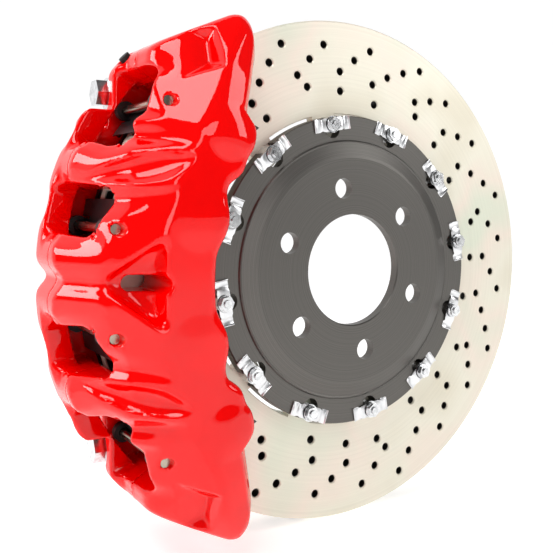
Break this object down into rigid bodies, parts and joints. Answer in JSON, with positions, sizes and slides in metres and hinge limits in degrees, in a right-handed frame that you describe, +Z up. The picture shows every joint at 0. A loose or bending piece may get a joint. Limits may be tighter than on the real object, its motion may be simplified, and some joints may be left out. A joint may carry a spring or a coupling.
{
  "type": "brake caliper with disc",
  "caption": "Fixed multi-piston brake caliper with windows over its pads, on a floating cross-drilled ventilated disc carried by a black hat.",
  "frame": {"origin": "centre of the hub bore, on the face of the hat that seats on the hub", "axes": "Y is the disc's axis with -Y outboard, the caliper sits on the -X side, +Z up"},
  "size_m": [0.448, 0.1583, 0.412],
  "materials": {
    "red_enamel": "gloss",
    "zinc_coated_iron": "satin",
    "black_anodised_hat": "satin",
    "zinc_plated_steel": "bright",
    "spring_steel": "bright",
    "black_oxide_steel": "satin",
    "black_spring_steel": "satin",
    "pin_steel": "bright",
    "piston_alloy": "satin",
    "seal_rubber": "matte",
    "pad_plate_black": "matte",
    "friction_lining": "matte",
    "copper_washer": "bright"
  },
  "bodies": {
    "caliper": {"caliper_outer_half": "red_enamel", "caliper_inner_half": "red_enamel", "bridge_bolts": "black_oxide_steel", "transfer_seals": "seal_rubber", "piston_seals": "seal_rubber", "dust_seals": "seal_rubber", "pad_pins": "pin_steel", "pin_clips": "spring_steel", "pad_springs": "black_spring_steel", "abutment_plates": "spring_steel", "inlet_plug": "zinc_plated_steel", "inlet_washer": "copper_washer", "mounting_bolts": "zinc_plated_steel", "mounting_washers": "zinc_plated_steel"},
    "hat": {"disc_hat": "black_anodised_hat"},
    "ring": {"friction_ring": "zinc_coated_iron", "drive_bobbins": "zinc_plated_steel", "bobbin_bolts": "zinc_plated_steel", "bobbin_washers": "zinc_plated_steel", "bobbin_nuts": "zinc_plated_steel", "bobbin_clips": "spring_steel"},
    "pad_outer_upper": {"pad_plate_outer_upper": "pad_plate_black", "lining_outer_upper": "friction_lining"},
    "pad_outer_lower": {"pad_plate_outer_lower": "pad_plate_black", "lining_outer_lower": "friction_lining"},
    "pad_inner_upper": {"pad_plate_inner_upper": "pad_plate_black", "lining_inner_upper": "friction_lining"},
    "pad_inner_lower": {"pad_plate_inner_lower": "pad_plate_black", "lining_inner_lower": "friction_lining"},
    "piston_outer_1": {"piston_outer_1": "piston_alloy"},
    "piston_outer_2": {"piston_outer_2": "piston_alloy"},
    "piston_outer_3": {"piston_outer_3": "piston_alloy"},
    "piston_outer_4": {"piston_outer_4": "piston_alloy"},
    "piston_inner_1": {"piston_inner_1": "piston_alloy"},
    "piston_inner_2": {"piston_inner_2": "piston_alloy"},
    "piston_inner_3": {"piston_inner_3": "piston_alloy"},
    "piston_inner_4": {"piston_inner_4": "piston_alloy"},
    "bleed_screw": {"bleed_screw": "pin_steel", "bleed_cap": "seal_rubber"}
  },
  "joints": [
    {"name": "disc_spin", "type": "hinge", "parent": "caliper", "child": "hat", "pos_m": [0, 0, 0], "axis": [0, 1, 0], "continuous": true},
    {"name": "ring_float", "type": "slide", "parent": "hat", "child": "ring", "axis": [0, 1, 0], "range_m": [-0.0001, 0.0001]},
    {"name": "pad_outer_upper_slide", "type": "slide", "parent": "caliper", "child": "pad_outer_upper", "axis": [0, 1, 0], "range_m": [0, 0.0007]},
    {"name": "pad_outer_lower_slide", "type": "slide", "parent": "caliper", "child": "pad_outer_lower", "axis": [0, 1, 0], "range_m": [0, 0.0007]},
    {"name": "piston_outer_1_slide", "type": "slide", "parent": "caliper", "child": "piston_outer_1", "axis": [0, 1, 0], "range_m": [0, 0.0007]},
    {"name": "piston_outer_2_slide", "type": "slide", "parent": "caliper", "child": "piston_outer_2", "axis": [0, 1, 0], "range_m": [0, 0.0007]},
    {"name": "piston_outer_3_slide", "type": "slide", "parent": "caliper", "child": "piston_outer_3", "axis": [0, 1, 0], "range_m": [0, 0.0007]},
    {"name": "piston_outer_4_slide", "type": "slide", "parent": "caliper", "child": "piston_outer_4", "axis": [0, 1, 0], "range_m": [0, 0.0007]},
    {"name": "pad_inner_upper_slide", "type": "slide", "parent": "caliper", "child": "pad_inner_upper", "axis": [0, -1, 0], "range_m": [0, 0.0007]},
    {"name": "pad_inner_lower_slide", "type": "slide", "parent": "caliper", "child": "pad_inner_lower", "axis": [0, -1, 0], "range_m": [0, 0.0007]},
    {"name": "piston_inner_1_slide", "type": "slide", "parent": "caliper", "child": "piston_inner_1", "axis": [0, -1, 0], "range_m": [0, 0.0007]},
    {"name": "piston_inner_2_slide", "type": "slide", "parent": "caliper", "child": "piston_inner_2", "axis": [0, -1, 0], "range_m": [0, 0.0007]},
    {"name": "piston_inner_3_slide", "type": "slide", "parent": "caliper", "child": "piston_inner_3", "axis": [0, -1, 0], "range_m": [0, 0.0007]},
    {"name": "piston_inner_4_slide", "type": "slide", "parent": "caliper", "child": "piston_inner_4", "axis": [0, -1, 0], "range_m": [0, 0.0007]},
    {"name": "bleed_turn", "type": "hinge", "parent": "caliper", "child": "bleed_screw", "pos_m": [-0.16821, 0.052, 0.15686], "axis": [-0.7314, 0, 0.682], "range_deg": [0, 180]}
  ],
  "couplings": [
    {"joint": "pad_outer_lower_slide", "follows": "pad_outer_upper_slide", "ratio": 1},
    {"joint": "piston_outer_1_slide", "follows": "pad_outer_upper_slide", "ratio": 1},
    {"joint": "piston_outer_2_slide", "follows": "pad_outer_upper_slide", "ratio": 1},
    {"joint": "piston_outer_3_slide", "follows": "pad_outer_upper_slide", "ratio": 1},
    {"joint": "piston_outer_4_slide", "follows": "pad_outer_upper_slide", "ratio": 1},
    {"joint": "pad_inner_upper_slide", "follows": "pad_outer_upper_slide", "ratio": 1},
    {"joint": "pad_inner_lower_slide", "follows": "pad_outer_upper_slide", "ratio": 1},
    {"joint": "piston_inner_1_slide", "follows": "pad_outer_upper_slide", "ratio": 1},
    {"joint": "piston_inner_2_slide", "follows": "pad_outer_upper_slide", "ratio": 1},
    {"joint": "piston_inner_3_slide", "follows": "pad_outer_upper_slide", "ratio": 1},
    {"joint": "piston_inner_4_slide", "follows": "pad_outer_upper_slide", "ratio": 1}
  ]
}
